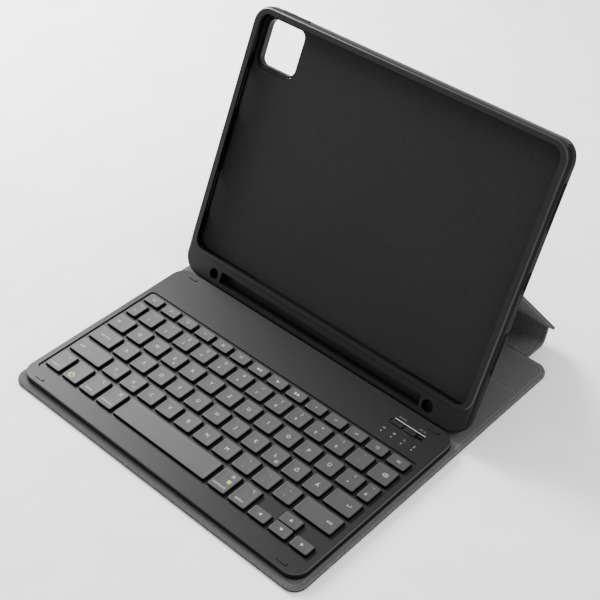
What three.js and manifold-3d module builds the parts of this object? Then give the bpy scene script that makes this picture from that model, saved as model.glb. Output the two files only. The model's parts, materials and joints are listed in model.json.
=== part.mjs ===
// Tablet keyboard case: a folio with a slim detachable keyboard on its base, and a tray for a
// tablet that leans on a folding strut. Millimetres, +X right, +Y to the back, +Z up.
// The origin is under the middle of the case, on the table.
import * as THREE from 'three';
import { mergeVertices } from 'three/addons/utils/BufferGeometryUtils.js';
import Module from 'manifold-3d';

const wasm = await Module();
wasm.setup();

// ---------- driving dimensions ----------
const MIDDLE_Y = 131.68; // from the keyboard's front edge to the origin
const LAYER_GAP = 0.1; // between the bonded layers of a folio panel

const BASE = { halfX: 128.15, front: -4.5, rear: 244.6, radius: 9.5, top: 3.0 };
const PANEL = { cover: 0.9, board: 0.8, lining: 0.5 }; // layers of every folding panel
const PANEL_HALF = 1.2; // half of a folding panel's thickness, the hinges lie in its middle

// hinge lines (y, z), from the base's rear edge to the middle of the tray's back
const SPINE_HINGE = { y: 246.2, z: 1.3 };
const HEEL_HINGE = { y: 263.4, z: 1.3 };
const STRUT_HINGE = { y: 267.0, z: 15.2 };
const FOLD_GAP = { spine: 1.6, heel: 1.6, strut: 1.2, tray: 1.1 }; // bare stretch on each side of a hinge
const SPINE_HALF_X = 109.4;
const STRUT_HALF_X = 114.2;

const TRAY = { halfX: 126.2, bottom: 0.2, top: 198.2, depth: 10, bottomRadius: 14, topRadius: 13, edge: 2.4 };
const TRAY_SEAM = { y: 147.65, z: 6.72 }; // where the tray's front plane starts, behind the keyboard
const TRAY_LEAN = THREE.MathUtils.degToRad(25.06);
const POCKET = { halfX: 124.2, bottom: 17.6, top: 196.7, front: 1.3, back: 7.9, radius: 10.5 };
const FRAME_LIP = { halfX: 120.1, bottom: 20.5, top: 193.4, radius: 7.5, outer: 124.9, rise: 0.8 };
const TRAY_HINGE_U = 102.3; // height of the strut's hinge on the tray's back
const BACK_PANEL_W = 10.3; // the bonded panel starts just behind the tray

const KEYBOARD = { halfX: 124.45, depth: 147.6, radius: 10.5, bottom: 3.3, top: 8.4, split: 5.8 };
const WELL = { halfX: 120, front: 10.5, back: 114, radius: 3, floor: 7.5, slope: 1.0 };
const KEY = { top: 9.8, bottom: 6.3, web: 0.35, gap: 3.2, radius: 1.1, clearance: 0.3 };
const KEY_FIELD = 117.1; // half the width of the key field

const rootGroup = new THREE.Group();
const caseGroup = new THREE.Group();
caseGroup.position.set(0, -MIDDLE_Y, 0);
rootGroup.add(caseGroup);

// ---------- materials ----------
const finish = (color, roughness, metalness = 0) => ({ color, roughness, metalness });
const LEATHER = finish(0x1b1b1c, 0.6);
const MICROFIBRE = finish(0x3d3d3e, 0.95);
const BOARD = finish(0x6d675c, 0.9);
const MAGNET = finish(0x9a9a9e, 0.35, 0.9);
const SOFT_PLASTIC = finish(0x161617, 0.65);
const DECK_PLASTIC = finish(0x2c2c2e, 0.5);
const KEY_PLASTIC = finish(0x343437, 0.6);
const STEEL = finish(0x8b8d90, 0.4, 0.9);
const GREEN_BOARD = finish(0x1d4d33, 0.6);
const CELL_FOIL = finish(0xb9babd, 0.4, 0.3);
const RUBBER = finish(0x1a1a1a, 0.9);
const CLEAR = finish(0xd9dde0, 0.2);

// ---------- solid helpers ----------
function solid(geometry) {
  geometry.deleteAttribute('normal');
  geometry.deleteAttribute('uv');
  const merged = mergeVertices(geometry, 1e-4);
  return new wasm.Manifold(new wasm.Mesh({
    numProp: 3,
    vertProperties: new Float32Array(merged.attributes.position.array),
    triVerts: new Uint32Array(merged.index.array),
  }));
}

function toGeometry(manifold) {
  const mesh = manifold.getMesh();
  const geometry = new THREE.BufferGeometry();
  geometry.setAttribute('position', new THREE.BufferAttribute(new Float32Array(mesh.vertProperties), 3));
  geometry.setIndex(new THREE.BufferAttribute(new Uint32Array(mesh.triVerts), 1));
  geometry.computeVertexNormals();
  return geometry;
}

function join(...pieces) {
  return pieces.reduce((whole, piece) => whole.add(piece));
}

function cut(body, ...tools) {
  return tools.reduce((rest, tool) => rest.subtract(tool), body);
}

function add(group, name, body, material) {
  const mesh = new THREE.Mesh(toGeometry(body), new THREE.MeshStandardMaterial(material));
  mesh.name = name;
  group.add(mesh);
}

// outline of a rectangle with one radius at its front (low y) corners and one at its back corners
function roundedRect(x0, x1, y0, y1, front, back = front) {
  const shape = new THREE.Shape();
  shape.moveTo(x0 + front, y0);
  shape.lineTo(x1 - front, y0);
  if (front > 0) shape.absarc(x1 - front, y0 + front, front, -Math.PI / 2, 0);
  shape.lineTo(x1, y1 - back);
  if (back > 0) shape.absarc(x1 - back, y1 - back, back, 0, Math.PI / 2);
  shape.lineTo(x0 + back, y1);
  if (back > 0) shape.absarc(x0 + back, y1 - back, back, Math.PI / 2, Math.PI);
  shape.lineTo(x0, y0 + front);
  if (front > 0) shape.absarc(x0 + front, y0 + front, front, Math.PI, Math.PI * 1.5);
  return shape;
}

function centredRect(halfX, y0, y1, front, back) {
  return roundedRect(-halfX, halfX, y0, y1, front, back);
}

// prism over an outline between two heights, with its outer edges rounded if edge is given
function prism(shape, z0, z1, { edge = 0, arc = 5, edgeSteps = 1 } = {}) {
  const geometry = new THREE.ExtrudeGeometry(shape, {
    depth: z1 - z0 - 2 * edge,
    bevelEnabled: edge > 0,
    bevelThickness: edge,
    bevelSize: edge,
    bevelOffset: -edge,
    bevelSegments: edgeSteps,
    curveSegments: arc,
  });
  geometry.translate(0, 0, z0 + edge);
  return solid(geometry);
}

function box(x0, x1, y0, y1, z0, z1) {
  const geometry = new THREE.BoxGeometry(x1 - x0, y1 - y0, z1 - z0);
  geometry.translate((x0 + x1) / 2, (y0 + y1) / 2, (z0 + z1) / 2);
  return solid(geometry);
}

// the same prism standing up: the outline lies in x and height u, the depth w runs to the back
function upright(shape, w0, w1, options) {
  return prism(shape, -w1, -w0, options).rotate([90, 0, 0]);
}

// ---------- folio ----------
function basePanel() {
  const { halfX, front, rear, radius, top } = BASE;
  const inset = 2.5;
  const window = 0.3;
  const coverTop = 1.1;
  const boardTop = 2.2;
  const outline = (by) => centredRect(halfX - by, front + by, rear - by, radius - by);
  const magnets = {
    base_seat_magnet: [-70, 70, 151.5, 159.5],
    keyboard_magnet_left: [-95, -55, 60, 76],
    keyboard_magnet_right: [55, 95, 60, 76],
  };
  let board = prism(outline(inset), coverTop + LAYER_GAP, boardTop, { arc: 4 });
  for (const [name, [x0, x1, y0, y1]] of Object.entries(magnets)) {
    board = cut(board, box(x0 - window, x1 + window, y0 - window, y1 + window, 1, 2.5));
    add(caseGroup, name, box(x0, x1, y0, y1, coverTop + LAYER_GAP, boardTop), MAGNET);
  }
  add(caseGroup, 'base_cover', prism(outline(0), 0, coverTop, { arc: 6 }), LEATHER);
  add(caseGroup, 'base_board', board, BOARD);
  add(caseGroup, 'base_lining', prism(outline(0.4), boardTop + LAYER_GAP, top, { arc: 6 }), MICROFIBRE);
}

// a folding panel in its own frame: the hinge line at y = 0, the panel along +y, lining on top
function foldingPanel(name, angle, hinge, outline) {
  const group = new THREE.Group();
  group.position.set(0, hinge.y, hinge.z);
  group.rotation.x = angle;
  caseGroup.add(group);
  const coverTop = -PANEL_HALF + PANEL.cover;
  const boardTop = coverTop + LAYER_GAP + PANEL.board;
  add(group, `${name}_cover`, prism(outline(0), -PANEL_HALF, coverTop), LEATHER);
  add(group, `${name}_board`, prism(outline(2), coverTop + LAYER_GAP, boardTop), BOARD);
  const liningTop = boardTop + LAYER_GAP + PANEL.lining;
  add(group, `${name}_lining`, prism(outline(0.3), boardTop + LAYER_GAP, liningTop), MICROFIBRE);
}

function between(a, b) {
  return { length: Math.hypot(b.y - a.y, b.z - a.z), angle: Math.atan2(b.z - a.z, b.y - a.y) };
}

// a point of the tray's frame, given by its height u and depth w
function onTray(u, w) {
  const up = { y: Math.sin(TRAY_LEAN), z: Math.cos(TRAY_LEAN) };
  return {
    y: TRAY_SEAM.y + u * up.y + w * up.z,
    z: TRAY_SEAM.z + u * up.z - w * up.y,
  };
}

function foldingPanels() {
  const trayHinge = onTray(TRAY_HINGE_U, BACK_PANEL_W + PANEL_HALF);
  const spine = between(SPINE_HINGE, HEEL_HINGE);
  const heel = between(HEEL_HINGE, STRUT_HINGE);
  const strut = between(STRUT_HINGE, trayHinge);
  const strip = (halfX, from, to, inset) => centredRect(halfX - inset, from + inset / 2, to - inset / 2, 0.4);
  foldingPanel('spine', spine.angle, SPINE_HINGE,
    (inset) => strip(SPINE_HALF_X, FOLD_GAP.spine, spine.length - FOLD_GAP.heel, inset));
  foldingPanel('heel', heel.angle, HEEL_HINGE,
    (inset) => strip(SPINE_HALF_X, FOLD_GAP.heel, heel.length - FOLD_GAP.strut, inset));
  foldingPanel('strut', strut.angle, STRUT_HINGE,
    (inset) => strip(STRUT_HALF_X, FOLD_GAP.strut, strut.length - FOLD_GAP.tray, inset));
}

// ---------- tray ----------
const CAMERA = { x: -102, u: 174.5, half: 17.5, radius: 7 };
const VOLUME = {
  halfX: 5.2, w0: 3.0, w1: 6.4, centres: { volume_up_cover: -100.9, volume_down_cover: -88.7 },
};
const POWER = { u0: 163.5, u1: 176.5, w0: 3.0, w1: 6.4 };
const BUTTON = { proud: 0.6, flange: 0.6, clearance: 0.35 };
const PENCIL_SLOT = { x0: -90.1, x1: 89.8, u0: 4.8, u1: 13.4, depth: 8.2 };
const PENCIL_HOLES = [{ x: -96.5, u: 9.0, r: 3.95 }, { x: 96.1, u: 9.1, r: 4.4 }];
const SIDE_SLOTS = [
  { side: 1, u0: 45.2, u1: 76.6, w0: 3.2, w1: 6.8 },
  { side: 1, u0: 103.0, u1: 117.6, w0: 2.6, w1: 7.4 },
  { side: 1, u0: 144.0, u1: 175.0, w0: 3.2, w1: 6.8 },
  { side: -1, u0: 45.2, u1: 76.6, w0: 3.2, w1: 6.8 },
  { side: -1, u0: 122.0, u1: 153.0, w0: 3.2, w1: 6.8 },
];
const FOOT_MAGNET = { halfX: 70, u0: 14.6, u1: 16.4, w0: 3.0, w1: 7.0 };

function cameraWindow(grow, w0, w1) {
  const { x, u, half, radius } = CAMERA;
  const reach = half + grow;
  return upright(roundedRect(x - reach, x + reach, u - reach, u + reach, radius + grow), w0, w1, { arc: 4 });
}

function sideSlot({ side, u0, u1, w0, w1 }) {
  const radius = (w1 - w0) / 2;
  const outline = roundedRect(u0, u1, w0, w1, radius - 0.01);
  const slot = prism(outline, POCKET.halfX - 1, TRAY.halfX + 1, { arc: 3 });
  const turned = slot.rotate([0, -90, 0]).mirror([1, 0, 0]);
  return side > 0 ? turned : turned.mirror([1, 0, 0]);
}

function volumeSlot(x, grow) {
  const { halfX, w0, w1 } = VOLUME;
  return box(x - halfX - grow, x + halfX + grow, w0 - grow, w1 + grow, POCKET.top - 1, TRAY.top + 1);
}

function trayShell() {
  const { halfX, bottom, top, depth, bottomRadius, topRadius, edge } = TRAY;
  const body = upright(centredRect(halfX, bottom, top, bottomRadius, topRadius), 0, depth,
    { edge, edgeSteps: 2, arc: 6 });
  const raisedOutline = centredRect(FRAME_LIP.outer, POCKET.bottom, top - 0.9, topRadius - 2, topRadius - 1);
  const raised = upright(raisedOutline, -FRAME_LIP.rise, 0.6, { edge: 0.6, arc: 6 });
  const pocket = upright(centredRect(POCKET.halfX, POCKET.bottom, POCKET.top, POCKET.radius),
    POCKET.front, POCKET.back, { arc: 5 });
  const opening = upright(centredRect(FRAME_LIP.halfX, FRAME_LIP.bottom, FRAME_LIP.top, FRAME_LIP.radius),
    -2, POCKET.front + 0.5, { arc: 5 });
  const slot = upright(roundedRect(PENCIL_SLOT.x0, PENCIL_SLOT.x1, PENCIL_SLOT.u0, PENCIL_SLOT.u1, 1.2),
    -1, PENCIL_SLOT.depth, { arc: 2 });
  const holes = PENCIL_HOLES.map(({ x, u, r }) => {
    const circle = new THREE.Shape();
    circle.absarc(x, u, r, 0, Math.PI * 2);
    return upright(circle, -1, 6.5, { arc: 20 });
  });
  const magnetRoom = box(-FOOT_MAGNET.halfX - 0.2, FOOT_MAGNET.halfX + 0.2, FOOT_MAGNET.w0 - 0.2,
    FOOT_MAGNET.w1 + 0.2, FOOT_MAGNET.u0 - 0.2, POCKET.bottom + 0.5);
  const windows = Object.values(VOLUME.centres).map((x) => volumeSlot(x, BUTTON.clearance));
  const power = box(-halfX - 1, -POCKET.halfX + 1, POWER.w0 - BUTTON.clearance, POWER.w1 + BUTTON.clearance,
    POWER.u0 - BUTTON.clearance, POWER.u1 + BUTTON.clearance);
  return cut(join(body, raised), pocket, opening, slot, ...holes, magnetRoom, ...windows, power,
    ...SIDE_SLOTS.map(sideSlot), cameraWindow(0, 5, depth + 1));
}

// a soft button in the tray's wall: a cap that stands proud and a flange behind the wall
function buttons(group) {
  const { proud, flange } = BUTTON;
  const { halfX, w0, w1 } = VOLUME;
  for (const [name, x] of Object.entries(VOLUME.centres)) {
    const cap = box(x - halfX, x + halfX, w0, w1, POCKET.top - 0.9, TRAY.top + proud);
    const back = box(x - halfX - flange, x + halfX + flange, w0 - flange, w1 + flange,
      POCKET.top - 1.2, POCKET.top - 0.4);
    add(group, name, join(cap, back), SOFT_PLASTIC);
  }
  const cap = box(-TRAY.halfX - proud, -POCKET.halfX + 0.9, POWER.w0, POWER.w1, POWER.u0, POWER.u1);
  const back = box(-POCKET.halfX + 0.4, -POCKET.halfX + 1.2, POWER.w0 - flange, POWER.w1 + flange,
    POWER.u0 - flange, POWER.u1 + flange);
  add(group, 'power_button_cover', join(cap, back), SOFT_PLASTIC);
}

function tray() {
  const group = new THREE.Group();
  group.position.set(0, TRAY_SEAM.y, TRAY_SEAM.z);
  group.rotation.x = -TRAY_LEAN;
  caseGroup.add(group);
  add(group, 'tray_shell', trayShell(), SOFT_PLASTIC);

  const linerOutline = centredRect(POCKET.halfX - 2.5, POCKET.bottom + 2.5, POCKET.top - 2.5,
    POCKET.radius - 2);
  const liner = cut(upright(linerOutline, POCKET.back - 0.6, POCKET.back - 0.1), cameraWindow(1.5, 5, 9));
  add(group, 'tray_liner', liner, MICROFIBRE);

  const { halfX, u0, u1, w0, w1 } = FOOT_MAGNET;
  add(group, 'foot_magnet', box(-halfX, halfX, w0, w1, u0, u1), MAGNET);

  const ringFront = POCKET.back + 0.3;
  const ringBack = BACK_PANEL_W + 2 * PANEL_HALF + 0.5;
  const ring = cut(cameraWindow(-0.3, ringFront, ringBack), cameraWindow(-1.6, 5, 15));
  add(group, 'camera_ring', ring, SOFT_PLASTIC);
  buttons(group);

  const panelOutline = (inset) => centredRect(123.6 - inset, TRAY_HINGE_U + FOLD_GAP.tray + inset / 2,
    197.4 - inset, 0.6, 11.5 - inset);
  const boardFront = BACK_PANEL_W + 0.2;
  const boardBack = boardFront + PANEL.board;
  const coverBack = BACK_PANEL_W + 2 * PANEL_HALF;
  const hole = cameraWindow(0.3, 5, 15);
  add(group, 'back_panel_board', cut(upright(panelOutline(2), boardFront, boardBack), hole), BOARD);
  const cover = upright(panelOutline(0), boardBack + LAYER_GAP, coverBack);
  add(group, 'back_panel_cover', cut(cover, hole), LEATHER);
}

// ---------- keys ----------
// Rows are listed from the back. Every key is { group, x0, x1, y0, y1 }.
const KEY_ROWS = {
  first: 102.6, functionHeight: 8.6, pitch: 16.65, height: 13.7, bottomHeight: 17.4, bottomGap: 2.9,
};
const SPACE_BAR = { x0: -49.3, x1: 33.2 };
const RIGHT_MODIFIERS = [{ x0: 36.4, x1: 50.3 }, { x0: 53.5, x1: 67.2 }];
const ARROWS = { left: 70.1, middle: 86.9, width: 13.6, split: 0.6 };
const KEY_PITCH = 17.2;

function keyLayout() {
  const keys = [];
  const { first, functionHeight, pitch, height, bottomHeight, bottomGap } = KEY_ROWS;
  const put = (group, x0, x1, y0, y1) => keys.push({ group, x0, x1, y0, y1 });
  const functionPitch = (2 * KEY_FIELD + KEY.gap) / 14;
  for (let i = 0; i < 14; i++) {
    const x0 = -KEY_FIELD + i * functionPitch;
    const group = i === 0 ? 'escape_key' : 'function_row_keys';
    put(group, x0, x0 + functionPitch - KEY.gap, first, first + functionHeight);
  }
  const rows = [
    { edge: -107.9, count: 12, left: 'number_row_keys', bank: 'number_row_keys', right: 'delete_key' },
    { edge: -101.2, count: 12, left: 'tab_key', bank: 'upper_row_keys', right: 'upper_row_keys' },
    { edge: -95.9, count: 11, left: 'caps_lock_key', bank: 'home_row_keys', right: 'return_key' },
    { edge: -87.3, count: 10, left: 'left_shift_key', bank: 'lower_row_keys', right: 'right_shift_key' },
  ];
  rows.forEach(({ edge, count, left, bank, right }, i) => {
    const y0 = first - (i + 1) * pitch;
    put(left, -KEY_FIELD, edge, y0, y0 + height);
    for (let n = 0; n < count; n++) {
      const x1 = edge + (n + 1) * KEY_PITCH;
      put(bank, x1 - KEY_PITCH + KEY.gap, x1, y0, y0 + height);
    }
    put(right, edge + count * KEY_PITCH + KEY.gap, KEY_FIELD, y0, y0 + height);
  });
  const low = first - rows.length * pitch - bottomHeight - bottomGap;
  const high = low + bottomHeight;
  const half = (bottomHeight - ARROWS.split) / 2;
  for (let i = 0; i < 4; i++) {
    const x0 = -KEY_FIELD + i * functionPitch;
    put('left_modifier_keys', x0, x0 + functionPitch - KEY.gap, low, high);
  }
  put('space_bar', SPACE_BAR.x0, SPACE_BAR.x1, low, high);
  for (const { x0, x1 } of RIGHT_MODIFIERS) put('right_modifier_keys', x0, x1, low, high);
  put('arrow_left_key', ARROWS.left, ARROWS.left + ARROWS.width, low, low + half);
  put('arrow_down_key', ARROWS.middle, ARROWS.middle + ARROWS.width, low, low + half);
  put('arrow_up_key', ARROWS.middle, ARROWS.middle + ARROWS.width, high - half, high);
  put('arrow_right_key', KEY_FIELD - ARROWS.width, KEY_FIELD, low, low + half);
  return keys;
}

const KEYS = keyLayout();

// the keys of one group, joined by a thin web under the deck where there is more than one
function keyGroup(members) {
  const caps = members.map(({ x0, x1, y0, y1 }) =>
    prism(roundedRect(x0, x1, y0, y1, KEY.radius), KEY.bottom, KEY.top, { arc: 1 }));
  if (members.length === 1) return caps[0];
  const web = box(Math.min(...members.map((k) => k.x0)) + 2, Math.max(...members.map((k) => k.x1)) - 2,
    members[0].y0 + 3, members[0].y0 + 5.5, KEY.bottom, KEY.bottom + KEY.web);
  return join(web, ...caps);
}

function keyCaps() {
  const groups = new Map();
  for (const key of KEYS) {
    groups.set(key.group, [...(groups.get(key.group) ?? []), key]);
  }
  for (const [name, members] of groups) add(caseGroup, name, keyGroup(members), KEY_PLASTIC);
}

// ---------- keyboard ----------
const SWITCH_SLOT = { x0: 82.6, x1: 110.4, y0: 129.6, y1: 134.6, floor: 7.4 };
const SWITCH_KNOB = { x0: 95.0, x1: 103.0, travel: 5.0 };
const CONNECT = { x0: 83.6, x1: 92.4 };
const LIGHTS = { y: 120.6, first: 84.5, pitch: 8.1, count: 4, radius: 0.55 };
const BUMPERS = { halfX: 4, halfY: 1.15, x: 109, front: 4.6, back: 142.6, height: 0.5, sunk: 0.3 };
const SKIN = 0.8; // wall of the keyboard's covers
const DECK_UNDER = KEY.bottom + 0.65;

// the opening in the back edge around the charging socket
function usbWay() {
  return box(-4.9, 4.9, KEYBOARD.depth - 7, KEYBOARD.depth + 1, 4.15, 7.3);
}

function topCover() {
  const { halfX, depth, radius, top, split } = KEYBOARD;
  const shellOutline = centredRect(halfX, 0, depth, radius, radius);
  const body = prism(shellOutline, split - 1, top, { edge: 0.5, arc: 6 });
  const lower = box(-200, 200, -10, 200, split - 3, split);
  const underWell = centredRect(halfX - 1.4, 1.4, WELL.back + 2, radius - 1.4, 0.5);
  const underDeck = centredRect(halfX - 1.4, WELL.back + 1.5, depth - 1.4, 0.5, radius - 1.4);
  const well = prism(centredRect(WELL.halfX, WELL.front, WELL.back, WELL.radius), WELL.floor - WELL.slope,
    top + 3, { edge: WELL.slope, arc: 4 });
  const wellTool = cut(well, box(-200, 200, -10, 200, 0, WELL.floor));
  const keyHoles = KEYS.map(({ x0, x1, y0, y1 }) => {
    const c = KEY.clearance;
    return box(x0 - c, x1 + c, y0 - c, y1 + c, DECK_UNDER - 0.5, WELL.floor + 0.5);
  });
  const { x0, x1, y0, y1, floor } = SWITCH_SLOT;
  const slot = prism(roundedRect(x0, x1, y0, y1, 2.45), floor, top + 1, { arc: 4 });
  const knobWay = box(SWITCH_KNOB.x0 - 0.4, SWITCH_KNOB.x1 + SWITCH_KNOB.travel + 0.4,
    y0 + 1.6, y1 - 1.6, 5, 8);
  const connectWay = box(CONNECT.x0 + 1.6, CONNECT.x1 - 1.6, y0 + 1.2, y1 - 1.2, 5, 8);
  const bumperSeats = bumperPlaces().map(([, x, y]) => bumperPrism(x, y, 0.12, top - BUMPERS.sunk, top + 1));
  const lightHoles = lightPlaces().map((x) => lightPrism(x, 0.12, 6, top + 1));
  return cut(body, lower, prism(underWell, split - 1, DECK_UNDER), prism(underDeck, split - 1, top - 1.3),
    wellTool, ...keyHoles, slot, usbWay(), knobWay, connectWay, ...bumperSeats, ...lightHoles);
}

function bumperPlaces() {
  const { x, front, back } = BUMPERS;
  return [['bumper_front_left', -x, front], ['bumper_front_right', x, front],
    ['bumper_back_left', -x, back], ['bumper_back_right', x, back]];
}

function bumperPrism(x, y, grow, z0, z1) {
  const { halfX, halfY } = BUMPERS;
  const outline = roundedRect(x - halfX - grow, x + halfX + grow, y - halfY - grow, y + halfY + grow,
    halfY + grow - 0.02);
  return prism(outline, z0, z1, { arc: 3 });
}

function lightPlaces() {
  return Array.from({ length: LIGHTS.count }, (_, i) => LIGHTS.first + i * LIGHTS.pitch);
}

function lightPrism(x, grow, z0, z1) {
  const circle = new THREE.Shape();
  circle.absarc(x, LIGHTS.y, LIGHTS.radius + grow, 0, Math.PI * 2);
  return prism(circle, z0, z1, { arc: 8 });
}

function bottomCover() {
  const { halfX, depth, radius, bottom, split } = KEYBOARD;
  const taper = 0.5;
  const body = prism(centredRect(halfX, 0, depth, radius, radius), bottom, split + 2 * taper,
    { edge: taper, arc: 6 });
  const upper = box(-200, 200, -10, 200, split - 0.3, 20);
  const wall = 1.4;
  const insideOutline = centredRect(halfX - wall, wall, depth - wall, radius - wall);
  const inside = prism(insideOutline, bottom + SKIN, 20, { arc: 5 });
  return cut(body, upper, inside, usbWay());
}

function keyboardInside() {
  const { depth, bottom } = KEYBOARD;
  const floor = bottom + SKIN + LAYER_GAP;
  const under = { halfX: 118.5, front: 11, back: 112.5 };
  add(caseGroup, 'key_support_plate', box(-under.halfX, under.halfX, under.front, under.back,
    floor, floor + 0.4), STEEL);
  add(caseGroup, 'key_membrane', box(-under.halfX + 1, under.halfX - 1, under.front + 1, under.back - 1,
    floor + 0.5, floor + 0.8), RUBBER);
  const boardTop = 5.3;
  add(caseGroup, 'circuit_board', box(-8, 114, 116, 140.5, 4.5, boardTop), GREEN_BOARD);
  add(caseGroup, 'battery', box(-112, -16, 116.5, 143, floor + 0.1, 6.9), CELL_FOIL);
  add(caseGroup, 'usb_socket', box(-4.5, 4.5, 141, depth - 0.2, 4.45, 7.0), STEEL);
  const bar = box(LIGHTS.first - 3, LIGHTS.first + 3 * LIGHTS.pitch + 3, LIGHTS.y - 1.6, LIGHTS.y + 1.6,
    boardTop + 0.2, 6.6);
  const guide = join(bar, ...lightPlaces().map((x) => lightPrism(x, 0, 6.4, KEYBOARD.top - 0.05)));
  add(caseGroup, 'light_guide', guide, CLEAR);
}

function keyboardControls() {
  const { y0, y1, floor } = SWITCH_SLOT;
  const knob = box(SWITCH_KNOB.x0, SWITCH_KNOB.x1, y0 + 0.6, y1 - 0.6, floor + 0.15, KEYBOARD.top + 0.35);
  const knobStem = box(SWITCH_KNOB.x0 + 2, SWITCH_KNOB.x1 - 2, y0 + 1.9, y1 - 1.9, 5.6, floor + 0.5);
  add(caseGroup, 'power_switch', join(knob, knobStem), KEY_PLASTIC);
  const cap = box(CONNECT.x0, CONNECT.x1, y0 + 0.7, y1 - 0.7, floor + 0.6, KEYBOARD.top + 0.15);
  const capStem = box(CONNECT.x0 + 2, CONNECT.x1 - 2, y0 + 1.6, y1 - 1.6, 6.0, floor + 0.8);
  add(caseGroup, 'connect_button', join(cap, capStem), KEY_PLASTIC);
  for (const [name, x, y] of bumperPlaces()) {
    const z0 = KEYBOARD.top - BUMPERS.sunk + 0.05;
    add(caseGroup, name, bumperPrism(x, y, 0, z0, KEYBOARD.top + BUMPERS.height), RUBBER);
  }
}

function keyboard() {
  const feet = { front_foot_strip: [12, 16], back_foot_strip: [128, 132] };
  const footTop = KEYBOARD.bottom + 0.25;
  let bottom = bottomCover();
  for (const [name, [y0, y1]] of Object.entries(feet)) {
    bottom = cut(bottom, box(-100.2, 100.2, y0 - 0.2, y1 + 0.2, 3, footTop + LAYER_GAP));
    add(caseGroup, name, box(-100, 100, y0, y1, BASE.top + 0.1, footTop), RUBBER);
  }
  add(caseGroup, 'keyboard_top_cover', topCover(), DECK_PLASTIC);
  add(caseGroup, 'keyboard_bottom_cover', bottom, DECK_PLASTIC);
  keyboardInside();
  keyboardControls();
}

basePanel();
foldingPanels();
tray();
keyboard();
keyCaps();

export default rootGroup;
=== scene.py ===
import json
import math

import bmesh
import bpy
from mathutils import Matrix, Vector


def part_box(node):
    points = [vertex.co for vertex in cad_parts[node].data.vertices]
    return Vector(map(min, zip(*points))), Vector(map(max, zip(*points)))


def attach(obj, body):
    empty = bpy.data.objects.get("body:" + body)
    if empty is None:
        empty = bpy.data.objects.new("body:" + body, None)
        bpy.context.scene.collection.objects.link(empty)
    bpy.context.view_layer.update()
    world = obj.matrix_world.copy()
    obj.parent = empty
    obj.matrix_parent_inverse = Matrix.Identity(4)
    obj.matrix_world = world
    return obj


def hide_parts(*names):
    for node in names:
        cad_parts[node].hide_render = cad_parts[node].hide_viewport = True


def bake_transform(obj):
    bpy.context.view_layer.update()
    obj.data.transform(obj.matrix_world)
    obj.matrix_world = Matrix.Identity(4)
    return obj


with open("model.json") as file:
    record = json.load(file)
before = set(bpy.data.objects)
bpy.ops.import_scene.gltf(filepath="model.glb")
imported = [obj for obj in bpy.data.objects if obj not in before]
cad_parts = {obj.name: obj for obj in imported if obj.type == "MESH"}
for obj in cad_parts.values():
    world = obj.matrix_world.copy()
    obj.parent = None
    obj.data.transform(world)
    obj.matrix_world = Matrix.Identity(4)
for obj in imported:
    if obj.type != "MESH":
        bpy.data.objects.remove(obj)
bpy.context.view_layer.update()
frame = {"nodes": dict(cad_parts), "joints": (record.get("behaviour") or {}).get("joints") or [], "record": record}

MM = 0.001
KEYBOARD_LOW, KEYBOARD_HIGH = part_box("keyboard_top_cover")
FRONT_Y = KEYBOARD_LOW.y / MM
DECK_HALF_X = KEYBOARD_HIGH.x / MM
DECK_DEPTH = KEYBOARD_HIGH.y / MM - FRONT_Y
DECK_TOP = KEYBOARD_HIGH.z / MM

# ---------- sizes that the frame gives ----------
KEY_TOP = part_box("space_bar")[1].z / MM
KEY_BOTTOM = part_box("space_bar")[0].z / MM
KEY_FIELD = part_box("return_key")[1].x / MM
JOINT = {j["name"]: j for j in frame["joints"]}
LEAN = math.asin(-JOINT["volume_up_press"]["axis"][1])
BASE_LOW, BASE_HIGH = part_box("base_cover")
BASE = {
    "half_x": BASE_HIGH.x / MM,
    "front": BASE_LOW.y / MM - FRONT_Y,
    "rear": BASE_HIGH.y / MM - FRONT_Y,
    "radius": 9.5,
    "top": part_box("base_lining")[1].z / MM,
}


def hinge_line(joint):
    """(y, z) of a hinge in millimetres from the keyboard's front edge."""
    _, y, z = JOINT[joint]["pos_m"]
    return Vector((y / MM - FRONT_Y, z / MM))


SPINE_LINE = hinge_line("spine_fold")
HEEL_LINE = hinge_line("heel_fold")
STRUT_LINE = hinge_line("strut_fold")
TRAY_LINE = hinge_line("tray_tilt")
# how far the soft stretch over each fold runs, before and after its hinge
FOLD_REACH = {"spine": (1.6, 1.6), "heel": (4.2, 3.6), "strut": (3.4, 1.2), "tray": (1.1, 1.1)}
SPINE_HALF_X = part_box("spine_cover")[1].x / MM
STRUT_HALF_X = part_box("strut_cover")[1].x / MM


def place(x, y, z):
    return Vector((x * MM, (y + FRONT_Y) * MM, z * MM))


# ---------- materials ----------
STAIN = {"scale": 18, "strength": 0.35, "darkest": 0.8, "lightest": 1.15}
GLOSS_SPREAD = 0.07


def node(tree, kind, **values):
    made = tree.nodes.new(kind)
    for key, value in values.items():
        setattr(made, key, value)
    return made


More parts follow.
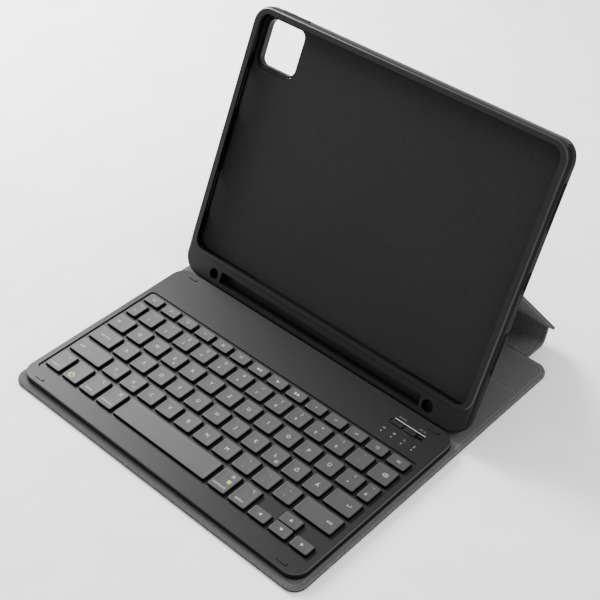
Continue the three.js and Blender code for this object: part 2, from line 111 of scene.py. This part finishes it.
def surface(name, dark, light, roughness, grain, *, bump=0.1, depth=0.0001, metallic=0.0, sheen=0.0,
            coat=0.0, stretch=(1, 1, 1), pattern="noise", spread=(0.35, 0.65), specular=0.5,
            transmission=0.0):
    """A procedural finish: two close colours in a fine pattern, with stains, uneven gloss and relief."""
    made = bpy.data.materials.new(name)
    made.use_nodes = True
    tree = made.node_tree
    shader = tree.nodes["Principled BSDF"]
    place_node = node(tree, "ShaderNodeTexCoord")
    mapping = node(tree, "ShaderNodeMapping")
    mapping.inputs["Scale"].default_value = stretch
    tree.links.new(place_node.outputs["Object"], mapping.inputs["Vector"])

    def noise(scale, detail=4.0):
        texture = node(tree, "ShaderNodeTexNoise")
        texture.inputs["Scale"].default_value = scale
        texture.inputs["Detail"].default_value = detail
        tree.links.new(mapping.outputs["Vector"], texture.inputs["Vector"])
        return texture.outputs["Fac"]

    if pattern == "cells":
        texture = node(tree, "ShaderNodeTexVoronoi")
        texture.feature = "DISTANCE_TO_EDGE"
        texture.inputs["Scale"].default_value = grain
        tree.links.new(mapping.outputs["Vector"], texture.inputs["Vector"])
        relief = texture.outputs["Distance"]
    else:
        relief = noise(grain)
    ramp = node(tree, "ShaderNodeValToRGB")
    ramp.color_ramp.elements[0].position, ramp.color_ramp.elements[1].position = spread
    ramp.color_ramp.elements[0].color = (*dark, 1)
    ramp.color_ramp.elements[1].color = (*light, 1)
    tree.links.new(noise(grain * 0.9), ramp.inputs["Fac"])
    stain = node(tree, "ShaderNodeMix", data_type="RGBA", blend_type="MULTIPLY")
    stain.inputs["Factor"].default_value = STAIN["strength"]
    tree.links.new(ramp.outputs["Color"], stain.inputs["A"])
    broad = node(tree, "ShaderNodeMapRange")
    broad.inputs["To Min"].default_value = STAIN["darkest"]
    broad.inputs["To Max"].default_value = STAIN["lightest"]
    tree.links.new(noise(STAIN["scale"], 2.0), broad.inputs["Value"])
    tree.links.new(broad.outputs["Result"], stain.inputs["B"])
    tree.links.new(stain.outputs["Result"], shader.inputs["Base Color"])
    gloss = node(tree, "ShaderNodeMapRange")
    gloss.inputs["To Min"].default_value = max(0.02, roughness - GLOSS_SPREAD)
    gloss.inputs["To Max"].default_value = min(1.0, roughness + GLOSS_SPREAD)
    tree.links.new(noise(grain * 0.25), gloss.inputs["Value"])
    tree.links.new(gloss.outputs["Result"], shader.inputs["Roughness"])
    relief_node = node(tree, "ShaderNodeBump")
    relief_node.inputs["Strength"].default_value = bump
    relief_node.inputs["Distance"].default_value = depth
    tree.links.new(relief, relief_node.inputs["Height"])
    tree.links.new(relief_node.outputs["Normal"], shader.inputs["Normal"])
    shader.inputs["Metallic"].default_value = metallic
    shader.inputs["Sheen Weight"].default_value = sheen
    shader.inputs["Coat Weight"].default_value = coat
    shader.inputs["Specular IOR Level"].default_value = specular
    shader.inputs["Transmission Weight"].default_value = transmission
    return made


def grey(value, tint=0.0):
    return (value, value, value * (1 + tint))


LEATHER = surface("leather", grey(0.003), grey(0.012), 0.58, 850, bump=0.8, pattern="cells", depth=0.0004,
                  specular=0.16)
MICROFIBRE = surface("microfibre", grey(0.055), grey(0.105), 0.95, 1500, bump=0.45, sheen=0.1,
                     spread=(0.36, 0.64), specular=0.1)
HEM = surface("pressed_hem", grey(0.1), grey(0.15), 0.9, 1500, bump=0.3, specular=0.1)
POCKET_LINING = surface("pocket_lining", grey(0.012), grey(0.022), 0.95, 2600, bump=0.4, specular=0.1)
TRAY_PLASTIC = surface("tray_plastic", grey(0.005), grey(0.009), 0.45, 3200, bump=0.12, specular=0.22)
# painted shade: a near-black copy of the tray plastic for the tray's sides
TRAY_SIDE_PAINTED_SHADE = surface("tray_side_painted_shade", grey(0.001), grey(0.003), 0.6, 3200, bump=0.12, specular=0.08)
# painted highlight: a lighter, glossier plastic for outer edges that catch the light
EDGE_PAINTED_HIGHLIGHT = surface("edge_painted_highlight", grey(0.022), grey(0.03), 0.35, 3800, bump=0.05, specular=0.35)
DECK_PLASTIC = surface("deck_plastic", grey(0.008), grey(0.014), 0.42, 3800, bump=0.16, specular=0.14)
# painted shade: a near-black copy of the deck plastic for the deck's walls, sides and underside
DECK_SIDE_PAINTED_SHADE = surface("deck_side_painted_shade", grey(0.001), grey(0.003), 0.6, 3800, bump=0.1, specular=0.08)
KEY_PLASTIC = surface("key_plastic", grey(0.024, 0.02), grey(0.036, 0.02), 0.5, 4200, bump=0.14,
                      specular=0.28)
# painted shade: a near-black copy of the key plastic for the keys' upright sides
KEY_SIDE_PAINTED_SHADE = surface("key_side_painted_shade", grey(0.001), grey(0.002), 0.5, 4200, bump=0.1, specular=0.1)
RUBBER = surface("rubber", grey(0.008), grey(0.018), 0.85, 2500, bump=0.3, specular=0.3)
STEEL = surface("steel", grey(0.35), grey(0.6), 0.35, 900, bump=0.1, metallic=1.0, stretch=(0.05, 1, 1))
MAGNET = surface("magnet_metal", grey(0.4), grey(0.6), 0.3, 1200, metallic=1.0)
CHROME = surface("chrome_trim", grey(0.6), grey(0.75), 0.3, 1600, bump=0.03, metallic=0.3,
                 stretch=(0.05, 1, 1))
BOARD = surface("panel_board", (0.16, 0.14, 0.11), (0.3, 0.27, 0.22), 0.9, 1800, bump=0.4)
CIRCUIT = surface("circuit", (0.01, 0.08, 0.035), (0.03, 0.17, 0.08), 0.5, 700, bump=0.2, coat=0.4)
FOIL = surface("cell_foil", grey(0.45), grey(0.65), 0.35, 300, bump=0.4, metallic=0.8, depth=0.0003)
CLEAR = surface("clear_plastic", grey(0.75), grey(0.9), 0.12, 900, transmission=0.8)
PRINT = surface("legend_print", grey(0.3), grey(0.42), 0.55, 5000, bump=0.05)
FAINT_PRINT = surface("deck_label_print", grey(0.09), grey(0.14), 0.55, 5000, bump=0.05)
MARK = surface("function_mark_print", (0.34, 0.36, 0.04), (0.42, 0.43, 0.08), 0.55, 5000, bump=0.05)
SLOT_FINISH = {
    "leather": LEATHER, "microfibre": MICROFIBRE, "tray_plastic": TRAY_PLASTIC,
    "deck_plastic": DECK_PLASTIC, "key_plastic": KEY_PLASTIC, "membrane_rubber": RUBBER,
    "steel": STEEL, "magnet_metal": MAGNET, "panel_board": BOARD, "circuit": CIRCUIT,
    "cell_foil": FOIL, "clear_plastic": CLEAR,
}


# ---------- mesh helpers ----------
STEEP_NORMAL = 0.55  # faces whose normal rises less than this count as sides, which take a painted-shade finish
SMALLEST_RADIUS = 0.15
MERGE_DISTANCE = 2e-6  # metres, between CAD vertices that are one
FLAT_ANGLE, BEVEL_ANGLE = math.radians(1), math.radians(38)


def rounded_rect(x0, x1, y0, y1, radius, inset, steps):
    """Points round a rectangle with rounded corners, shrunk by inset."""
    x0, x1, y0, y1 = x0 + inset, x1 - inset, y0 + inset, y1 - inset
    r = max(radius - inset, SMALLEST_RADIUS)
    points = []
    for corner, (cx, cy) in enumerate(((x1, y0), (x1, y1), (x0, y1), (x0, y0))):
        centre_x = cx - r if corner in (0, 1) else cx + r
        centre_y = cy + r if corner in (0, 3) else cy - r
        start = (corner - 1) * math.pi / 2
        for i in range(steps + 1):
            angle = start + i / steps * math.pi / 2
            points.append((centre_x + r * math.cos(angle), centre_y + r * math.sin(angle)))
    return points


def loft(bm, rings, endless=False):
    """Closed skin through rings of equally many points: its two ends are capped, or joined if endless."""
    rows = [[bm.verts.new(p) for p in ring] for ring in rings]
    count = len(rows[0])
    pairs = list(zip(rows, rows[1:]))
    if endless:
        pairs.append((rows[-1], rows[0]))
    else:
        bm.faces.new(list(reversed(rows[0])))
        bm.faces.new(rows[-1])
    for low, high in pairs:
        for i in range(count):
            j = (i + 1) % count
            bm.faces.new((low[i], low[j], high[j], high[i]))


def box_into(bm, x0, x1, y0, y1, z0, z1):
    loft(bm, [[place(*p, z) for p in ((x0, y0), (x1, y0), (x1, y1), (x0, y1))] for z in (z0, z1)])


def piece(name, bm, material, body=None, replaces=(), sharp=35, painted_shade_finish=None):
    """Makes an object of the mesh. Faces that stand upright take the painted-shade material, where one is given.
    """
    bmesh.ops.recalc_face_normals(bm, faces=bm.faces)
    if painted_shade_finish:
        for face in bm.faces:
            face.material_index = int(face.normal.z < STEEP_NORMAL)
    mesh = bpy.data.meshes.new(name)
    bm.to_mesh(mesh)
    bm.free()
    mesh.shade_smooth()
    mesh.set_sharp_from_angle(angle=math.radians(sharp))
    mesh.materials.append(material)
    if painted_shade_finish:
        mesh.materials.append(painted_shade_finish)
    made = bpy.data.objects.new(name, mesh)
    bpy.context.scene.collection.objects.link(made)
    if body:
        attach(made, body)
    if replaces:
        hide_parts(*replaces)
    return made


def refined(name, source, finishes, body, bevel, segments=2, choose=None):
    """A copy of a hard CAD shell with its edges rounded over. choose picks a face's finish by number."""
    bm = bmesh.new()
    bm.from_mesh(frame["nodes"][source].data)
    bmesh.ops.remove_doubles(bm, verts=bm.verts, dist=MERGE_DISTANCE)
    bmesh.ops.dissolve_limit(bm, angle_limit=FLAT_ANGLE, verts=bm.verts, edges=bm.edges)
    made = piece(name, bm, finishes[0], body, (source,))
    for finish in finishes[1:]:
        made.data.materials.append(finish)
    if choose:
        for face in made.data.polygons:
            face.material_index = choose(face.center / MM, face.normal)
    rounding = made.modifiers.new("edges", "BEVEL")
    rounding.width = bevel * MM
    rounding.segments = segments
    rounding.limit_method = "ANGLE"
    rounding.angle_limit = BEVEL_ANGLE
    flatten = made.modifiers.new("flat_faces", "WEIGHTED_NORMAL")
    flatten.weight = 100
    flatten.keep_sharp = True
    return made


# ---------- carried-over nodes ----------
def finish_cad_nodes():
    for row in frame["record"]["subparts"]:
        mesh = frame["nodes"][row["node"]].data
        mesh.materials.clear()
        finish = SLOT_FINISH[row["material_slot"]]
        if row["node"] == "tray_liner":
            finish = POCKET_LINING
        elif row["node"].startswith("bumper"):
            finish = DECK_PLASTIC
        mesh.materials.append(finish)


# ---------- keys ----------
ROWS = {"first": 102.6, "function_height": 8.6, "pitch": 16.65, "height": 13.7, "bottom_height": 17.4,
        "bottom_gap": 2.9}
KEY_PITCH, KEY_GAP, KEY_RADIUS = 17.2, 3.2, 1.3
SPACE_BAR = (-49.3, 33.2)
RIGHT_MODIFIERS = ((36.4, 50.3), (53.5, 67.2))
ARROW = {"left": 70.1, "middle": 86.9, "width": 13.6, "split": 0.6}
LETTER, SMALL_LETTER, WORD, ICON = 3.8, 3.0, 2.5, 2.9  # text sizes
# (across, up) from a key's middle to its upper and lower text
TWO_LINES = ((2.2, 4.9), (-0.4, -4.9))
SIGN_AND_DIGIT = ((0.5, 3.2), (-0.5, -2.4))
# from a key's left edge to a word's middle, and the same from the right edge
LEFT_WORDS = {"tab_key": 5.1, "caps_lock_key": 10.2, "left_shift_key": 6.1}
RIGHT_WORDS = ("delete_key", "return_key", "right_shift_key")
RIGHT_WORD_INSET = 6.1
# thin strip under the caps that joins the keys of a bank, from its first key's edges
WEB = {"side": 2, "front": 3, "back": 5.5, "thickness": 0.35}
HOME_BAR = {"half_x": 1.7, "half_y": 0.2, "below": 0.2, "above": 0.02}
# (body, x, y)
HOME_BARS = (("home_row_keys", -34.5, 54.9), ("home_row_keys", 17.4, 54.9))
# (body, text, size, x, y)
SMALL_MARKS = (("upper_row_keys", "€", 2.6, -54.0, 72.5), ("home_row_keys", "@", 2.6, 55.5, 56.0))
# (piece, body, text, size, x, y)
COLOUR_MARKS = (
    ("function_mark", "left_modifier_keys", "◎", 5.6, -95.0, 19.5),
    ("undo_mark", "lower_row_keys", "↶", 3.4, -74.0, 39.0),
    ("redo_mark", "lower_row_keys", "↷", 3.4, -57.0, 39.5),
    ("square_mark", "right_modifier_keys", "■", 3.4, 46.3, 24.5),
)
LEGEND_Z = KEY_TOP - 0.08
SMALL_MARK_Z = KEY_TOP - 0.07
FUNCTION_ICONS = ["☼", "☀", "⌕", "▦", "○", "◀◀", "▶", "▶▶", "♪", "♪−", "♪+", "□", "del"]
NUMBER_LEGENDS = ["^ °", "1 !", "2 \"", "3 §", "4 $", "5 %", "6 &", "7 /", "8 (", "9 )", "0 =", "ß ?", "´ `"]
# (right edge of the first key, keys in the bank, legends, last legend, first node, bank node, last node)
ROW_LEGENDS = [
    (-107.9, 12, NUMBER_LEGENDS, "⌫", "number_row_keys", "number_row_keys", "delete_key"),
    (-101.2, 12, ["tab", *"QWERTZUIOPÜ", "+ *"], "# '", "tab_key", "upper_row_keys", "upper_row_keys"),
    (-95.9, 11, ["caps lock", *"ASDFGHJKLÖÄ"], "↵", "caps_lock_key", "home_row_keys", "return_key"),
    (-87.3, 10, ["shift", *"YXCVBNM", ", ;", ". :", "- _"], "shift", "left_shift_key", "lower_row_keys",
     "right_shift_key"),
]


def key_layout():
    """Every key as (group, x0, x1, y0, y1, legend)."""
    keys = []
    first, pitch, height = ROWS["first"], ROWS["pitch"], ROWS["height"]
    function_pitch = (2 * KEY_FIELD + KEY_GAP) / 14
    for i, text in enumerate(["esc", *FUNCTION_ICONS]):
        x0 = -KEY_FIELD + i * function_pitch
        group = "function_row_keys" if i else "escape_key"
        keys.append((group, x0, x0 + function_pitch - KEY_GAP, first, first + ROWS["function_height"], text))
    for row, (edge, count, legends, last, left, bank, right) in enumerate(ROW_LEGENDS):
        y0 = first - (row + 1) * pitch
        keys.append((left, -KEY_FIELD, edge, y0, y0 + height, legends[0]))
        for n in range(count):
            x1 = edge + (n + 1) * KEY_PITCH
            keys.append((bank, x1 - KEY_PITCH + KEY_GAP, x1, y0, y0 + height, legends[n + 1]))
        keys.append((right, edge + count * KEY_PITCH + KEY_GAP, KEY_FIELD, y0, y0 + height, last))
    low = first - len(ROW_LEGENDS) * pitch - ROWS["bottom_height"] - ROWS["bottom_gap"]
    high = low + ROWS["bottom_height"]
    half = (ROWS["bottom_height"] - ARROW["split"]) / 2
    for i, text in enumerate(["^\ncontrol", "", "⌥\noption", "⌘\ncommand"]):
        x0 = -KEY_FIELD + i * function_pitch
        keys.append(("left_modifier_keys", x0, x0 + function_pitch - KEY_GAP, low, high, text))
    keys.append(("space_bar", *SPACE_BAR, low, high, ""))
    for (x0, x1), text in zip(RIGHT_MODIFIERS, ["⌘\ncommand", "⌥\noption"]):
        keys.append(("right_modifier_keys", x0, x1, low, high, text))
    left, middle, width = ARROW["left"], ARROW["middle"], ARROW["width"]
    keys.append(("arrow_left_key", left, left + width, low, low + half, "◀"))
    keys.append(("arrow_down_key", middle, middle + width, low, low + half, "▼"))
    keys.append(("arrow_up_key", middle, middle + width, high - half, high, "▲"))
    keys.append(("arrow_right_key", KEY_FIELD - width, KEY_FIELD, low, low + half, "▶"))
    return keys


def keycap_into(bm, x0, x1, y0, y1):
    """A flat cap with soft upper edges and a shallow dish."""
    profile = [(0.0, KEY_BOTTOM), (0.0, KEY_TOP - 0.5), (0.06, KEY_TOP - 0.25), (0.2, KEY_TOP - 0.08),
               (0.42, KEY_TOP), (0.9, KEY_TOP - 0.02), (2.2, KEY_TOP - 0.09), (3.6, KEY_TOP - 0.12)]
    loft(bm, [[place(*p, z) for p in rounded_rect(x0, x1, y0, y1, KEY_RADIUS, inset, steps=5)]
              for inset, z in profile])


def text_mesh(text, size, x, y, z, bm):
    """Adds a centred line of lettering, lying flat."""
    curve = bpy.data.curves.new("lettering", "FONT")
    curve.body = text
    curve.size = size * MM
    curve.align_x = "CENTER"
    curve.align_y = "CENTER"
    curve.extrude = 0.02 * MM
    curve.resolution_u = 3
    holder = bpy.data.objects.new("lettering", curve)
    bpy.context.scene.collection.objects.link(holder)
    bpy.context.view_layer.update()
    mesh = bpy.data.meshes.new_from_object(holder.evaluated_get(bpy.context.evaluated_depsgraph_get()))
    mesh.transform(Matrix.Translation(place(x, y, z)))
    bm.from_mesh(mesh)
    bpy.data.meshes.remove(mesh)
    bpy.data.objects.remove(holder)
    bpy.data.curves.remove(curve)


def legend_into(bm, group, x0, x1, y0, y1, text):
    x, y, z = (x0 + x1) / 2, (y0 + y1) / 2, LEGEND_Z
    if "\n" in text:
        for line, size, (across, up) in zip(text.split("\n"), (ICON, WORD), TWO_LINES):
            text_mesh(line, size, x + across, y + up, z, bm)
    elif len(text) == 3 and text[1] == " ":
        for sign, (across, up) in zip((text[2], text[0]), SIGN_AND_DIGIT):
            text_mesh(sign, SMALL_LETTER, x + across, y + up, z, bm)
    elif group in LEFT_WORDS:
        text_mesh(text, WORD, x0 + LEFT_WORDS[group], y, z, bm)
    elif group in RIGHT_WORDS:
        text_mesh(text, WORD if text.isalpha() else LETTER, x1 - RIGHT_WORD_INSET, y, z, bm)
    elif text.isalpha() and len(text) == 1:
        text_mesh(text, LETTER, x, y, z, bm)
    elif text:
        text_mesh(text, WORD, x, y, z, bm)


def colour_marks():
    for name, body, text, size, x, y in COLOUR_MARKS:
        bm = bmesh.new()
        text_mesh(text, size, x, y, LEGEND_Z, bm)
        piece(name, bm, MARK, body)


def make_keys():
    groups = {}
    for group, *key in key_layout():
        groups.setdefault(group, []).append(key)
    for group, keys in groups.items():
        caps, letters = bmesh.new(), bmesh.new()
        for x0, x1, y0, y1, text in keys:
            keycap_into(caps, x0, x1, y0, y1)
            legend_into(letters, group, x0, x1, y0, y1, text)
        if len(keys) > 1:
            x0, x1 = min(k[0] for k in keys) + WEB["side"], max(k[1] for k in keys) - WEB["side"]
            y = keys[0][2]
            box_into(caps, x0, x1, y + WEB["front"], y + WEB["back"], KEY_BOTTOM,
                     KEY_BOTTOM + WEB["thickness"])
        for body, x, y in HOME_BARS:
            if body == group:
                box_into(caps, x - HOME_BAR["half_x"], x + HOME_BAR["half_x"], y - HOME_BAR["half_y"],
                         y + HOME_BAR["half_y"], KEY_TOP - HOME_BAR["below"], KEY_TOP + HOME_BAR["above"])
        for body, text, size, x, y in SMALL_MARKS:
            if body == group:
                text_mesh(text, size, x, y, SMALL_MARK_Z, letters)
        # the caps' upright sides take the near-black key plastic as painted shade
        piece(f"{group}_caps", caps, KEY_PLASTIC, group, (group,), painted_shade_finish=KEY_SIDE_PAINTED_SHADE)
        if letters.verts:
            piece(f"{group}_legends", letters, PRINT, group)
        else:
            letters.free()


# ---------- folio ----------
BASE_LEATHER = [(0.9, 0.0), (0.3, 0.12), (0.0, 0.5), (0.0, 1.25), (0.12, 1.4), (1.6, 1.4), (1.6, 1.1)]
BASE_LINING = [(2.3, 2.3), (2.1, 1.5), (0.08, 1.5), (0.12, 1.95), (0.45, 2.5), (1.1, 2.88), (1.9, 3.0),
               (3.9, 3.0)]  # (inset, height) from below to above
CREASE_Y = 209.7
HEM_INSET, CREASE_INSET = 3.0, 3.5
RIDGE = [(-0.35, -0.05), (-0.2, 0.06), (0.2, 0.06), (0.35, -0.05)]  # (across, height) of a pressed line
FOLD_STEPS = 14


def base_ring(inset, height):
    half_x = BASE["half_x"]
    outline = rounded_rect(-half_x, half_x, BASE["front"], BASE["rear"], BASE["radius"], inset, steps=16)
    return [place(*p, height) for p in outline]


def base_folio():
    half_x = BASE["half_x"]
    for name, profile, material, slot, source in (
            ("base_leather", BASE_LEATHER, LEATHER, "leather", "base_cover"),
            ("base_microfibre", BASE_LINING, MICROFIBRE, "microfibre", "base_lining")):
        bm = bmesh.new()
        loft(bm, [base_ring(inset, height) for inset, height in profile])
        piece(name, bm, material, "base", (source,))
    crease, hem = bmesh.new(), bmesh.new()
    loft(crease, [[place(x, CREASE_Y + y, BASE["top"] + z) for y, z in RIDGE]
                  for x in (CREASE_INSET - half_x, half_x - CREASE_INSET)])
    loft(hem, [base_ring(HEM_INSET + step, BASE["top"] + z) for step, z in RIDGE], endless=True)
    piece("base_crease", crease, HEM, "base")
    piece("base_hem", hem, HEM, "base")


def angle_of(start, end):
    step = end - start
    return math.atan2(step.y, step.x)


def mirrored(edge):
    """A section from its right-hand half, given as (distance in from the side, height)."""
    return lambda half_x: ([(half_x - inset, height) for inset, height in edge]
                           + [(inset - half_x, height) for inset, height in reversed(edge)])


LEATHER_SECTION = mirrored([(0.9, -1.2), (0.3, -1.05), (0.0, -0.6), (0.0, 0.2), (0.12, 0.34), (1.5, 0.34),
                            (1.5, -0.32)])
LINING_SECTION = mirrored([(1.6, 0.7), (1.4, 0.4), (0.08, 0.4), (0.1, 0.75), (0.4, 1.05), (0.9, 1.2),
                           (2.0, 1.2), (2.3, 1.1), (2.6, 1.2)])


def band(name, half_x, path, replaced=None, body=None):
    """Leather and lining with the folio's section, carried along a path of (point, normal) pairs."""
    made = []
    for layer, section in (("leather", LEATHER_SECTION), ("microfibre", LINING_SECTION)):
        bm = bmesh.new()
        loft(bm, [[place(x, *(point + normal * height)) for x, height in section(half_x)]
                  for point, normal in path])
        material = LEATHER if layer == "leather" else MICROFIBRE
        node_suffix = "cover" if layer == "leather" else "lining"
        replaces = (f"{replaced}_{node_suffix}",) if replaced else ()
        made.append(piece(f"{name}_{layer}", bm, material, body, replaces))
    return made


def folding_panel(name, line, angle, half_x, start, end):
    along = Vector((math.cos(angle), math.sin(angle)))
    normal = Vector((-along.y, along.x))
    band(name, half_x, [(line + along * start, normal), (line + along * end, normal)], name, name)


def fold_strip(name, line, before, after, reach, half_x):
    """The soft stretch over a hinge, laid along a curve through it."""
    start = line - Vector((math.cos(before), math.sin(before))) * reach[0]
    end = line + Vector((math.cos(after), math.sin(after))) * reach[1]
    path = []
    for i in range(FOLD_STEPS + 1):
        t = i / FOLD_STEPS
        point = start * (1 - t) ** 2 + line * 2 * t * (1 - t) + end * t ** 2
        along = ((line - start) * (1 - t) + (end - line) * t).normalized()
        path.append((point, Vector((-along.y, along.x))))
    for made in band(name, half_x, path):
        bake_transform(made)


def folio():
    base_folio()
    flat = 0.0
    heel = angle_of(HEEL_LINE, STRUT_LINE)
    strut = angle_of(STRUT_LINE, TRAY_LINE)
    back = math.pi / 2 - LEAN
    spine_length = (HEEL_LINE - SPINE_LINE).length
    heel_length = (STRUT_LINE - HEEL_LINE).length
    strut_length = (TRAY_LINE - STRUT_LINE).length
    reach = FOLD_REACH
    folding_panel("spine", SPINE_LINE, flat, SPINE_HALF_X, reach["spine"][1], spine_length - reach["heel"][0])
    folding_panel("heel", HEEL_LINE, heel, SPINE_HALF_X, reach["heel"][1], heel_length - reach["strut"][0])
    folding_panel("strut", STRUT_LINE, strut, STRUT_HALF_X, reach["strut"][1],
                  strut_length - reach["tray"][0])
    fold_strip("spine_bend", SPINE_LINE, flat, flat, reach["spine"], SPINE_HALF_X)
    fold_strip("heel_bend", HEEL_LINE, flat, heel, reach["heel"], SPINE_HALF_X)
    fold_strip("strut_bend", STRUT_LINE, heel, strut, reach["strut"], SPINE_HALF_X)
    fold_strip("tray_bend", TRAY_LINE, strut, back, reach["tray"], STRUT_HALF_X)


# ---------- hard shells ----------
# finish numbers: plain, painted shade, painted highlight
TOP_FACE, PAINTED_SHADE_FACE, PAINTED_HIGHLIGHT_FACE = 0, 1, 2
DECK_RIM = 4.0  # width of the band round the deck that holds its outer edge, whose sloped faces take the painted highlight
TRAY_FRONT = 11.5  # from the tray's hinge line forward to the flat front that the raised frame stands on
TRAY_DEPTH = Vector((0, math.cos(LEAN), -math.sin(LEAN)))
FLAT_NORMAL, CHAMFER_NORMAL = 0.9, 0.3  # how far a deck face's normal rises: top faces above the first, outer faces above the second take the painted highlight, the rest painted shade
FRONT_NORMAL, SIDEWAYS_NORMAL = 0.8, 0.55  # how far a tray face's normal lies along its depth, or sideways; sideways faces take painted shade, and faces in front of the flat front that lie less along the depth take the painted highlight
FRONT_SLACK = 0.05


def deck_painted_light_face(centre, normal):
    """The deck's top, the walls of its well and its side in painted shade, and its outer edge with a painted
    highlight.
    """
    if normal.z > FLAT_NORMAL:
        return TOP_FACE
    y = centre.y - FRONT_Y
    outer = abs(centre.x) > DECK_HALF_X - DECK_RIM or not DECK_RIM < y < DECK_DEPTH - DECK_RIM
    return PAINTED_HIGHLIGHT_FACE if outer and normal.z > CHAMFER_NORMAL else PAINTED_SHADE_FACE


def tray_painted_light_face(centre, normal):
    """The tray's front and back, its sides in painted shade, and the edge of the raised frame with a painted
    highlight.
    """
    hinge = Vector((0, TRAY_LINE.x + FRONT_Y, TRAY_LINE.y))
    before_front = (centre - hinge).dot(TRAY_DEPTH) + TRAY_FRONT < -FRONT_SLACK
    if before_front and abs(normal.dot(TRAY_DEPTH)) < FRONT_NORMAL:
        return PAINTED_HIGHLIGHT_FACE
    return TOP_FACE if abs(normal.x) < SIDEWAYS_NORMAL else PAINTED_SHADE_FACE


def shells():
    # the second and third finishes of tray and deck are painted shade and a painted highlight
    tray_finishes_with_painted_light = (TRAY_PLASTIC, TRAY_SIDE_PAINTED_SHADE, EDGE_PAINTED_HIGHLIGHT)
    deck_finishes_with_painted_light = (DECK_PLASTIC, DECK_SIDE_PAINTED_SHADE, EDGE_PAINTED_HIGHLIGHT)
    refined("tray_body", "tray_shell", tray_finishes_with_painted_light, "tray", 0.3, choose=tray_painted_light_face)
    refined("back_panel_leather", "back_panel_cover", (LEATHER,), "tray", 0.35, 3)
    refined("camera_frame", "camera_ring", (TRAY_PLASTIC,), "tray", 0.25)
    refined("keyboard_deck", "keyboard_top_cover", deck_finishes_with_painted_light, "keyboard", 0.15,
            choose=deck_painted_light_face)
    # painted shade: the whole underside takes the near-black deck plastic
    refined("keyboard_underside", "keyboard_bottom_cover", (DECK_SIDE_PAINTED_SHADE,), "keyboard", 0.15)
    for side in ("volume_up", "volume_down", "power_button"):
        refined(f"{side}_cap", f"{side}_cover", (TRAY_PLASTIC,), side, 0.3, 3)
    refined("power_switch_knob", "power_switch", (DECK_PLASTIC,), "power_switch", 0.2)
    refined("connect_button_cap", "connect_button", (DECK_PLASTIC,), "connect_button", 0.2)


# ---------- small print and trim on the deck ----------
# boxes as x0, x1, y0, y1, z0, z1
SWITCH_FILM = (83.0, 110.0, 130.0, 134.2, 5.32, 5.42)
SWITCH_TRIM = (84.3, 108.7, 134.75, 135.15, DECK_TOP - 0.1, DECK_TOP + 0.06)
DECK_PRINT_Z = DECK_TOP + 0.02
SWITCH_LABELS = {"size": 1.9, "y": 138.0, "words": (("connect", 88.3), ("off  on", 104.3))}
LIGHT_MARKS = {"size": 2.2, "y": 123.8, "first": 84.5, "pitch": 8.1, "marks": ["⌨", "●", "⇪", "▮"]}


def deck_details():
    film = bmesh.new()
    box_into(film, *SWITCH_FILM)
    piece("switch_film", film, RUBBER, "keyboard")
    trim = bmesh.new()
    box_into(trim, *SWITCH_TRIM)
    piece("switch_trim", trim, CHROME, "keyboard")
    print_mesh = bmesh.new()
    for word, x in SWITCH_LABELS["words"]:
        text_mesh(word, SWITCH_LABELS["size"], x, SWITCH_LABELS["y"], DECK_PRINT_Z, print_mesh)
    for i, mark in enumerate(LIGHT_MARKS["marks"]):
        x = LIGHT_MARKS["first"] + i * LIGHT_MARKS["pitch"]
        text_mesh(mark, LIGHT_MARKS["size"], x, LIGHT_MARKS["y"], DECK_PRINT_Z, print_mesh)
    piece("deck_print", print_mesh, FAINT_PRINT, "keyboard")


# ---------- stage ----------
CAMERA = {
    "location": (0.4262, -0.4556, 0.5975),
    "right": (0.73277, 0.68047, 0.00239),
    "up": (-0.44575, 0.47736, 0.75725),
    "back": (0.51415, -0.55596, 0.65312),
    "lens": 77.35,
    "sensor_width": 36,
}
LAMPS = (  # (name, location, size, power), each aimed at the origin
    ("key_light", (-0.74, 0.16, 0.6), 0.42, 22),
    ("fill_light", (0.5, -0.9, 1.3), 1.4, 6),
    ("back_light", (0.9, 0.5, 0.9), 0.8, 9),
)
FLOOR_DROP = 0.0002
FLOOR_HALF = 4


def camera():
    data = bpy.data.cameras.new("camera")
    data.lens = CAMERA["lens"]
    data.sensor_width = CAMERA["sensor_width"]
    made = bpy.data.objects.new("camera", data)
    bpy.context.scene.collection.objects.link(made)
    axes = Matrix((CAMERA["right"], CAMERA["up"], CAMERA["back"])).transposed()
    made.matrix_world = Matrix.Translation(CAMERA["location"]) @ axes.to_4x4()
    bpy.context.scene.camera = made


def area_light(name, location, size, power):
    data = bpy.data.lights.new(name, "AREA")
    data.shape = "SQUARE"
    data.size = size
    data.energy = power
    made = bpy.data.objects.new(name, data)
    bpy.context.scene.collection.objects.link(made)
    made.location = location
    made.rotation_mode = "QUATERNION"
    made.rotation_quaternion = (-Vector(location)).to_track_quat("-Z", "Y")


def studio():
    bm = bmesh.new()
    bmesh.ops.create_grid(bm, x_segments=1, y_segments=1, size=FLOOR_HALF)
    floor_finish = surface("floor", grey(0.93), grey(0.96), 0.9, 60, bump=0.02)
    floor = piece("floor", bm, floor_finish)
    floor.location.z = -FLOOR_DROP
    world = bpy.data.worlds.new("studio")
    bpy.context.scene.world = world
    world.use_nodes = True
    world.node_tree.nodes["Background"].inputs["Color"].default_value = (1, 1, 1, 1)
    world.node_tree.nodes["Background"].inputs["Strength"].default_value = 1.0
    for lamp in LAMPS:
        area_light(*lamp)


camera()
finish_cad_nodes()
make_keys()
colour_marks()
folio()
shells()
deck_details()
studio()
